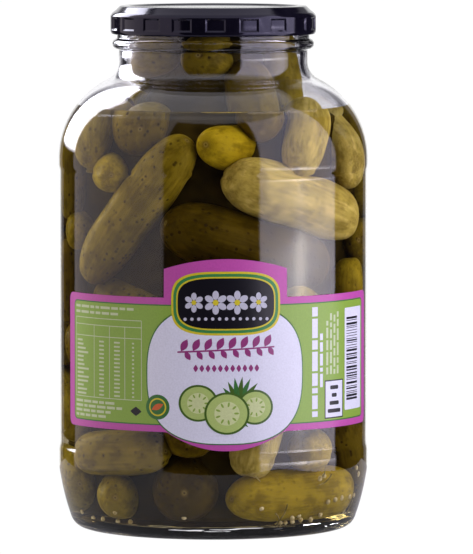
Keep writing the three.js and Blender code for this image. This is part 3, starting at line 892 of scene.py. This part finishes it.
def seedPlaces(heap):  # the ones against the glass, and those that have settled on the gherkins all round
    s = spice
    places = [againstGlass(azimuth, height, s["radius"]) for azimuth, height in s["seeds"]]
    draw = drawer(packing["seed"] + 1)
    corners, faces = [v.co / mm for v in heap.data.vertices], [p.vertices[:] for p in heap.data.polygons]
    tree = BVHTree.FromPolygons(corners, faces)
    for k in range(s["count"]):
        height = s["lowest"] + (s["highest"] - s["lowest"]) * draw() ** 2
        azimuth = k * packing["goldenAngle"]
        hit = tree.ray_cast(place(azimuth, height, glass["bodyRadius"]), place(azimuth, 0, -1))[0]
        reach = math.hypot(hit.x, hit.y) - s["sunk"] if hit else 0
        if reach < heapCore["radius"]:
            continue
        farthest = againstGlass(azimuth, height, s["radius"])
        places.append(place(azimuth, height, min(reach, math.hypot(farthest.x, farthest.y))))
    return places


def scatterSeeds(heap):
    s = spice
    chance = random.Random(s["shapeSeed"])
    pieces = []
    for at in seedPlaces(heap):
        radius = s["radius"] * chance.uniform(1 - s["uneven"], 1) * mm
        bpy.ops.mesh.primitive_ico_sphere_add(subdivisions=s["subdivisions"], radius=radius, location=at * mm)
        pieces.append(bpy.context.object)
        pieces[-1].scale = [chance.uniform(1 - s["uneven"], 1) for _ in range(3)]
    # Pale mustard seed is waxy and cream coloured, browner in patches.
    coat = cloudedCoat("mustardSeedCoat", 2.1, [(0.35, "#b5a266"), (0.6, "#ece2bc")], 0.45, 0.05)
    finishPiece(joined(pieces, "mustardSeeds"), [coat], replaced="gherkins")
    print("seeds:", len(pieces))


def scatterDill():
    pieces = []
    for azimuth, height, length, lean, bow in spice["dill"]:
        turn = math.radians(lean)
        points = []
        for share in (0, 0.25, 0.5, 0.75, 1):
            along = length * share
            side = bow * math.sin(math.pi * share)
            across = along * math.sin(turn) + side * math.cos(turn)
            up = along * math.cos(turn) - side * math.sin(turn)
            nearWall = azimuth + math.degrees(across / glass["bodyRadius"])
            points.append(againstGlass(nearWall, height + up, spice["stemRadius"]) * mm)
        bpy.ops.curve.primitive_nurbs_path_add()
        stem = bpy.context.object
        for point, at in zip(stem.data.splines[0].points, points):
            point.co = (*at, 1)
        stem.data.bevel_depth = spice["stemRadius"] * mm
        stem.data.use_fill_caps = True
        bpy.ops.object.convert(target="MESH")
        pieces.append(bpy.context.object)
    # After weeks in brine the stalks are limp, dull and olive brown.
    soaked = cloudedCoat("soakedDill", 4, [(0.35, "#6a6026"), (0.6, "#a89a62")], 0.6, 0.05)
    finishPiece(joined(pieces, "dillBits"), [soaked], replaced="gherkins")


heap = packGherkins()
fillCore()
scatterSeeds(heap)
scatterDill()
print("stage: gherkins are packed, with seeds and dill")


cap = {  # pressed steel: a sunk panel, grip dimples round the skirt and a curled edge
    "dimples": 19,
    "columns": 5,  # mesh columns for each dimple and the land beside it
    "dimpleColumns": 3,
    "firstDimple": 1.3,
    "dimpleDepth": 1.2,
    "dimpleSlope": 1.5,
    "dimpleTop": 212.3,
    "dimpleFoot": 206.8,
    "top": 216.7,
    "panelSink": 0.8,
    "panelRadius": 34,
    "panelSlope": 1.2,
    "rimRadius": 38.6,
    "bevel": [(41.9, 213.8), (40.4, 214.9)],
    "corner": 2.4,
    "skirtRadius": 42.7,
    "skirtTop": 212.6,
    "skirtFoot": 206,
    "curl": 1,
    "curlRise": 0.8,
    "curlFoot": 205,
    "shell": 0.6,
    "lining": 0.8,
    "ease": 0.6,
    "edgeRound": 0.4,
    "orangePeel": 1.6,
    "wear": 11,
}


def azimuthOf(point):
    return math.degrees(math.atan2(point.x, -point.y))


def lacqueredSteel():  # tinplate under black gloss lacquer: nearly a mirror, with the lacquer's orange peel
    made, tree = newMaterial("blackLacqueredTinplate")
    at = addNode(tree, "ShaderNodeTexCoord").outputs["Object"]
    inputs = {"Vector": at, "Scale": 1 / (cap["orangePeel"] * mm), "Detail": 2.0}
    peel = addNode(tree, "ShaderNodeTexNoise", inputs)
    wear = addNode(tree, "ShaderNodeTexNoise", {"Vector": at, "Scale": 1 / (cap["wear"] * mm), "Detail": 4.0})
    inputs = {"Value": wear, "From Min": 0.3, "From Max": 0.7, "To Min": 0.07, "To Max": 0.13}
    surface = addNode(
        tree,
        "ShaderNodeBsdfPrincipled",
        {
            "Base Color": addNode(tree, "ShaderNodeValToRGB", [wear], [(0.3, "#0b0914"), (0.7, "#14121d")]),
            "Roughness": addNode(tree, "ShaderNodeMapRange", inputs),
            "IOR": 1.46,
            "Specular Tint": linear("#dcd8fa"),
            "Normal": addNode(tree, "ShaderNodeBump", {"Height": peel, "Strength": 0.12, "Distance": 0.1 * mm}),
        },
    )
    addNode(tree, "ShaderNodeOutputMaterial", {"Surface": surface})
    return made


def pressCap():
    c = cap
    inside = c["skirtRadius"] - c["shell"]
    underside = c["top"] - c["shell"] - c["lining"]
    shell = [
        (0, underside),
        (inside - c["corner"], underside),
        (inside, c["skirtTop"] - c["shell"]),
        (inside, c["skirtFoot"] + c["curlRise"]),
        (inside - c["curl"], c["skirtFoot"]),
        (inside - c["curl"] / 2, c["curlFoot"]),
        (c["skirtRadius"] - c["curl"] / 2, c["curlFoot"]),
        (c["skirtRadius"], c["skirtFoot"]),
        (c["skirtRadius"], c["dimpleFoot"]),
    ]
    sunk = c["top"] - c["panelSink"]
    top = [
        (c["skirtRadius"], c["dimpleTop"]),
        (c["skirtRadius"], c["skirtTop"]),
        *c["bevel"],
        (c["rimRadius"], c["top"]),
        (c["panelRadius"] + c["panelSlope"], c["top"]),
        (c["panelRadius"], sunk),
        (0, sunk),
    ]
    profile = [*eased(shell, c["ease"]), *eased(top, c["ease"])]
    piece = turned("capShell", profile, c["dimples"] * c["columns"])
    pitch = 360 / c["dimples"]
    column = pitch / c["columns"]
    half = column * c["dimpleColumns"] / 2
    piece.data.transform(Matrix.Rotation(math.radians((c["firstDimple"] - half - 90) % column), 4, "Z"))

    def inDimple(middle):
        fromDimple = (azimuthOf(middle) - c["firstDimple"]) % pitch
        near = min(fromDimple, pitch - fromDimple) < half
        onSkirt = math.hypot(middle.x, middle.y) > inside + c["shell"] / 2
        return near and onSkirt and c["dimpleFoot"] < middle.z < c["dimpleTop"]

    bpy.ops.object.mode_set(mode="EDIT")
    selectFaces(piece, inDimple)
    bpy.ops.mesh.inset(thickness=c["dimpleSlope"] * mm, use_even_offset=True)
    bpy.ops.transform.shrink_fatten(value=-c["dimpleDepth"] * mm, use_even_offset=False)
    bpy.ops.object.mode_set(mode="OBJECT")
    bevelEdges(piece, c["edgeRound"], 24)
    finishPiece(piece, [lacqueredSteel()], "lid", 40)


pressCap()
print("stage: cap is pressed")


label = {  # a band with an arched crest over its middle and a round bulge under it
    "middle": 4.8,
    "halfLength": 79.7,
    "inside": 64,
    "thickness": 0.22,
    "foot": 45,
    "top": 99.8,
    "corner": 3,
    "crestHalf": 25.7,
    "crestCorner": 111.5,
    "crestPeak": 115.7,
    "crestSteps": 16,
    "bulgeHalf": 24.6,
    "bulgeFoot": 37.4,
    "columnStep": 2,
    "layer": 0.02,  # each colour is printed over the last one
    "tooth": 0.7,
    "cockle": 24,
    "ink": {
        "magenta": "#cb58ae",
        "darkGreen": "#3f7a3a",
        "lime": "#93b647",
        "white": "#eeeffc",
        "paleLime": "#cfdcae",
        "black": "#14131a",
        "yellow": "#e2d233",
        "plaqueGreen": "#3f9150",
        "silver": "#cfd0dc",
        "plum": "#9b3c7c",
        "rind": "#4b6d26",
        "flesh": "#b9cf77",
        "pith": "#d9e3a5",
        "orange": "#dd6a35",
    },
}
prints = []  # every printed shape: its outline of (along, height) points, its ink and its layer


def ink(outline, colour, layer):
    prints.append((outline, colour, layer))


def box(s0, s1, z0, z1, corner=0.0):  # a rectangle, with round corners or square ones
    if not corner:
        return [(s0, z0), (s1, z0), (s1, z1), (s0, z1)]
    middles = [(s1 - corner, z1 - corner, 0), (s0 + corner, z1 - corner, 90)]
    middles += [(s0 + corner, z0 + corner, 180), (s1 - corner, z0 + corner, 270)]
    return [point for s, z, turn in middles for point in arc(s, z, corner, turn - 15, turn + 90, 7)]


def swung(s, z, x, y, turn):  # the point at x and y from (s, z), turned from level
    lean = math.radians(turn)
    return (s + x * math.cos(lean) - y * math.sin(lean), z + x * math.sin(lean) + y * math.cos(lean))


def oval(s, z, half, tall, power=2.0, steps=64, turn=0.0):  # an ellipse, or a squarer one with a higher power
    points = []
    for i in range(steps):
        c, n = math.cos(math.tau * i / steps), math.sin(math.tau * i / steps)
        x, y = (math.copysign(abs(value) ** (2 / power), value) for value in (c, n))
        points.append(swung(s, z, half * x, tall * y, turn))
    return points


def leaf(s, z, length, width, turn):  # a pointed leaf from its stalk end, turned from level
    shares = [i / 8 for i in range(8)]
    points = [(share, 1) for share in shares] + [(1 - share, -1) for share in shares]
    return [swung(s, z, length * t, side * width / 2 * math.sin(math.pi * t), turn) for t, side in points]


def labelEdges(s):  # heights of the top and foot edges at a distance along the glass from the middle
    d = label
    inCorner = max(0, d["corner"] - (d["halfLength"] - abs(s)))
    cut = d["corner"] - math.sqrt(max(0, d["corner"] ** 2 - inCorner**2))
    crest = d["crestPeak"] - (d["crestPeak"] - d["crestCorner"]) * (s / d["crestHalf"]) ** 2
    drop = max(0, 1 - (s / d["bulgeHalf"]) ** 2)
    top = crest if abs(s) <= d["crestHalf"] else d["top"] - cut
    return top, d["foot"] + cut - (d["foot"] - d["bulgeFoot"]) * drop


def labelOutline():
    d = label
    columns = [-d["halfLength"] + d["corner"] * (1 - math.cos(math.radians(t))) for t in range(0, 91, 15)]
    columns += [*range(-74, -26, 4), -d["crestHalf"] - 0.05]
    steps = range(-d["crestSteps"], d["crestSteps"] + 1)
    crest = [i * d["crestHalf"] / d["crestSteps"] for i in steps]
    edges = [(s, *labelEdges(s)) for s in [*columns, *crest, *(-s for s in reversed(columns))]]
    return [(s, foot) for s, top, foot in edges] + [(s, top) for s, top, foot in reversed(edges)]


plaque = {  # a dark rounded plaque in the crest, with a row of round flowers
    "middle": 97.6,
    "half": 22.6,
    "tall": 13,
    "squareness": 3.4,
    "rims": [("yellow", 0), ("plaqueGreen", 0.9), ("yellow", 2.1), ("black", 2.7)],
    "flowerLine": 98,
    "flowers": [(-13.2, 2.5), (-4.4, 3.0), (4.4, 3.0), (13.2, 2.5)],
    "petal": (0.62, 0.44),
    "heart": 0.4,
    "beadLine": 91.4,
    "beadStep": 2.8,
    "bead": 0.7,
}


def drawPlaque():
    d = plaque
    for i, (colour, inset) in enumerate(d["rims"]):
        ink(oval(0, d["middle"], d["half"] - inset, d["tall"] - inset, d["squareness"]), colour, 4 + i)
    for s, size in d["flowers"]:
        long, wide = (size * share for share in d["petal"])
        for turn in range(30, 390, 60):
            ink(oval(*swung(s, d["flowerLine"], size, 0, turn), long, wide, 2, 20, turn), "silver", 8)
        ink(oval(s, d["flowerLine"], size * d["heart"], size * d["heart"], 2, 20), "yellow", 9)
    for i in range(-6, 7):
        ink(oval(d["beadStep"] * i, d["beadLine"] - 0.006 * i**2, d["bead"], d["bead"], 2, 12), "silver", 8)


def drawGarland():  # a row of plump plum leaves along a stem, and a row of small diamonds under it
    ink([(-20, 77.4), (20, 79.4), (20, 80.0), (-20, 78.1)], "plum", 4)
    for i in range(8):
        s = -18.5 + 4.9 * i
        z = 78.0 + 0.05 * (s + 20)
        ink(leaf(s, z, 5.6, 2.9, 62), "plum", 5)
        ink(leaf(s + 1.6, z, 4.2, 2.3, -58), "plum", 5)
    for i in range(11):
        ink(oval(-12.5 + 2.5 * i, 71.2, 0.95, 1.5, 1.2, 16), "plum", 4)


slices = {  # three round slices of gherkin over feathery leaves
    "places": [(-11.5, 57.0, 8.0, 5), (11.8, 55.2, 7.6, 5), (0.2, 52.8, 9.2, 9)],
    "foreshortened": 0.94,
    "rind": 0.9,
    "pith": (0.56, 0.53),
    "pips": 9,
    "pipRing": (0.42, 0.4),
    "pip": (0.11, 0.045),
}


def drawSlices():
    d = slices
    for i in range(-5, 6):
        feather = leaf(3 + 0.7 * i, 54.5, 14.5 - abs(i) * 0.5, 2.2, 47 + 17 * i)
        ink(feather, "darkGreen" if i % 2 else "rind", 4)
    for s, z, size, layer in d["places"]:
        inner = size - d["rind"]
        ink(oval(s, z, size, size * d["foreshortened"]), "rind", layer)
        ink(oval(s, z, inner, inner * d["foreshortened"]), "flesh", layer + 1)
        ink(oval(s, z, *(size * share for share in d["pith"])), "pith", layer + 2)
        for k in range(d["pips"]):
            turn = 360 / d["pips"] * k
            at = math.radians(turn)
            across, up = d["pipRing"]
            middle = (s + size * across * math.cos(at), z + size * up * math.sin(at))
            ink(oval(*middle, *(size * share for share in d["pip"]), 2, 12, turn), "lime", layer + 3)


table = {  # a plain table in the left field: ruled lines, with dashes for its rows
    "left": -73.6,
    "right": -35.6,
    "top": 90.0,
    "headed": 87.2,
    "ruled": 82.6,
    "foot": 57.5,
    "rule": 0.32,
    "columns": [-60.5, -51.5, -43.5],
    "cells": [(-56, 1.4), (-47.5, 1.5), (-39.5, 0.5)],
    "rows": 14,
    "firstRow": 80.6,
    "rowStep": 1.68,
    "lines": [(94.6, 33), (92.3, 25), (55.6, 21), (53.7, 28), (51.8, 23), (49.9, 17)],
    "seed": 31,
}


def drawLeftPanel():
    d = table
    left, right, foot, half = d["left"], d["right"], d["foot"], d["rule"] / 2
    for s in (left, *d["columns"], right):
        top = d["top"] if s in (left, right) else d["headed"]
        ink(box(s - half, s + half, foot, top), "paleLime", 3)
    for z in (d["top"], d["headed"], d["ruled"], foot):
        ink(box(left, right, z - half, z + half), "paleLime", 3)
    chance = random.Random(d["seed"])
    for row in range(d["rows"]):
        z = d["firstRow"] - d["rowStep"] * row
        ink(box(left + 1, left + chance.uniform(5, 11), z - 0.4, z + 0.4), "paleLime", 3)
        for s, reach in d["cells"]:
            ink(box(s - reach, s + reach, z - 0.35, z + 0.35), "paleLime", 3)
    for z, length in d["lines"]:
        start = left
        while start < left + length:
            dash = chance.uniform(2.2, 5.5)
            ink(box(start, start + dash, z - 0.55, z + 0.5), "paleLime", 3)
            start += dash + 0.8


bars = {  # dashes that run up the right field, a small bordered box and a white panel of fine bars
    "dashes": [  # place along the label, half width, lowest, highest and ink
        (39.6, 1.5, 50, 95, "white"),
        (43.2, 0.8, 62, 84, "white"),
        (46.6, 0.6, 67, 89, "paleLime"),
        (48.9, 0.6, 67, 92, "paleLime"),
        (51.1, 0.6, 67, 92, "paleLime"),
        (53.3, 0.6, 67, 94, "paleLime"),
    ],
    "boxed": [(45.1, 57.0, 48.8, 64.6), (45.6, 56.5, 49.3, 64.1)],
    "boxMiddle": 51,
    "boxLines": [(61.5, 2.6), (58.3, 1.6), (55.1, 3.0), (51.9, 4.1)],
    "panel": (58.4, 73.6, 51.5, 93.6, 0.6),
    "bars": (59.8, 69.6, 55.5, 90),
    "seed": 57,
}


def drawRightPanel():
    d = bars
    chance = random.Random(d["seed"])
    for s, wide, low, high, colour in d["dashes"]:
        z = low
        while z < high - 1:
            dash = min(chance.uniform(1.5, 6) * (0.6 + wide / 2), high - z)
            ink(box(s - wide, s + wide, z, z + dash), colour, 3)
            z += dash + 0.9
    border, within = d["boxed"]
    ink(box(*border), "black", 3)
    ink(box(*within), "white", 4)
    for z, half in d["boxLines"]:
        ink(box(d["boxMiddle"] - half, d["boxMiddle"] + half, z - 0.8, z + 0.8, 0.5), "black", 5)
    ink(box(*d["panel"]), "white", 3)
    left, right, z, top = d["bars"]
    while z < top:
        bar = chance.choice((0.3, 0.3, 0.6, 0.9))
        ink(box(left, right, z, z + bar), "black", 4)
        z += bar + chance.choice((0.4, 0.4, 0.8))


def drawFields():  # two green fields with a white oval between them, and a small round seal
    for side in (-1, 1):
        for out, low, high, corner, colour, layer in (
            (75.2, 47.7, 97.0, 2.2, "darkGreen", 1),
            (74.7, 48.2, 96.5, 1.9, "lime", 2),
        ):
            ends = sorted((side * out, side * 10.0))
            ink(box(*ends, low, high, corner), colour, layer)
    ink(oval(0, 68.6, 33.4, 28.7, 2.7, 96), "darkGreen", 2)
    ink(oval(0, 68.6, 32.9, 28.2, 2.7, 96), "white", 3)
    for radius, colour, layer in ((5.1, "darkGreen", 4), (3.7, "yellow", 5), (3.1, "darkGreen", 6)):
        ink(oval(-28.4, 55.1, radius, radius), colour, layer)
    ink(leaf(-31.0, 54.0, 5.6, 2.4, 25), "orange", 7)
    ink(oval(-38.2, 53.0, 2.6, 1.9, 1.1, 16), "black", 3)


def printedPaper():  # coated paper, offset printed and varnished: even gloss over the paper's fine tooth
    made, tree = newMaterial("varnishedLabelPaper")
    colour = addNode(tree, "ShaderNodeAttribute", attribute_name="inkColour").outputs["Color"]
    at = addNode(tree, "ShaderNodeTexCoord").outputs["Object"]
    inputs = {"Vector": at, "Scale": 1 / (label["tooth"] * mm), "Detail": 3.0}
    tooth = addNode(tree, "ShaderNodeTexNoise", inputs)
    inputs = {"Vector": at, "Scale": 1 / (label["cockle"] * mm), "Detail": 1.0}
    cockle = addNode(tree, "ShaderNodeTexNoise", inputs)
    mottle = addNode(tree, "ShaderNodeValToRGB", [tooth], [(0.3, "#f4f4f4"), (0.7, "#ffffff")])
    colours = {"Factor": 1.0, "A": colour, "B": mottle}
    printed = addNode(tree, "ShaderNodeMix", colours, data_type="RGBA", blend_type="MULTIPLY")
    fine = addNode(tree, "ShaderNodeBump", {"Height": tooth, "Strength": 0.1, "Distance": 0.05 * mm})
    inputs = {"Height": cockle, "Strength": 0.3, "Distance": 0.4 * mm, "Normal": fine}
    bump = addNode(tree, "ShaderNodeBump", inputs)
    inputs = {"Base Color": printed, "Roughness": 0.3, "Specular IOR Level": 0.4, "Normal": bump}
    surface = addNode(tree, "ShaderNodeBsdfPrincipled", inputs)
    addNode(tree, "ShaderNodeOutputMaterial", {"Surface": surface})
    return made


def wrapLabel():
    d = label
    for draw in (drawFields, drawPlaque, drawGarland, drawSlices, drawLeftPanel, drawRightPanel):
        draw()
    shapes = [(labelOutline(), "magenta", 0), *prints]
    corners, faces, colours = [], [], []
    for outline, colour, layer in shapes:
        faces.append([*range(len(corners), len(corners) + len(outline))])
        corners += [(s, -layer * d["layer"], z) for s, z in outline]
        colours.append(linear(d["ink"][colour]))
    mesh = bpy.data.meshes.new("printedLabel")
    mesh.from_pydata(corners, [], faces)
    inkColour = mesh.attributes.new("inkColour", "FLOAT_COLOR", "FACE")
    inkColour.data.foreach_set("color", np.array(colours).ravel())
    piece = bpy.data.objects.new("printedLabel", mesh)
    bpy.context.collection.objects.link(piece)
    bpy.context.view_layer.objects.active = piece
    piece.select_set(True)
    bpy.ops.object.mode_set(mode="EDIT")
    last = int(d["halfLength"] // d["columnStep"])
    for i in range(-last, last + 1):
        bpy.ops.mesh.select_all(action="SELECT")
        bpy.ops.mesh.bisect(plane_co=(i * d["columnStep"], 0, 0), plane_no=(1, 0, 0))
    bpy.ops.object.mode_set(mode="OBJECT")
    count = len(mesh.vertices)
    flat = np.empty(count * 3)
    mesh.vertices.foreach_get("co", flat)
    s, depth, z = flat.reshape(count, 3).T
    angle = math.radians(d["middle"]) + s / d["inside"]
    reach = d["inside"] + d["thickness"] - depth
    wrapped = np.stack([reach * np.sin(angle), -reach * np.cos(angle), z], axis=1) * mm
    mesh.vertices.foreach_set("co", wrapped.ravel())
    for face in mesh.polygons:
        face.select = False
    mesh.update()
    finishPiece(piece, [printedPaper()], "label")
    print("label: shapes", len(shapes), "faces", len(mesh.polygons))


wrapLabel()
print("stage: label is printed and wrapped")
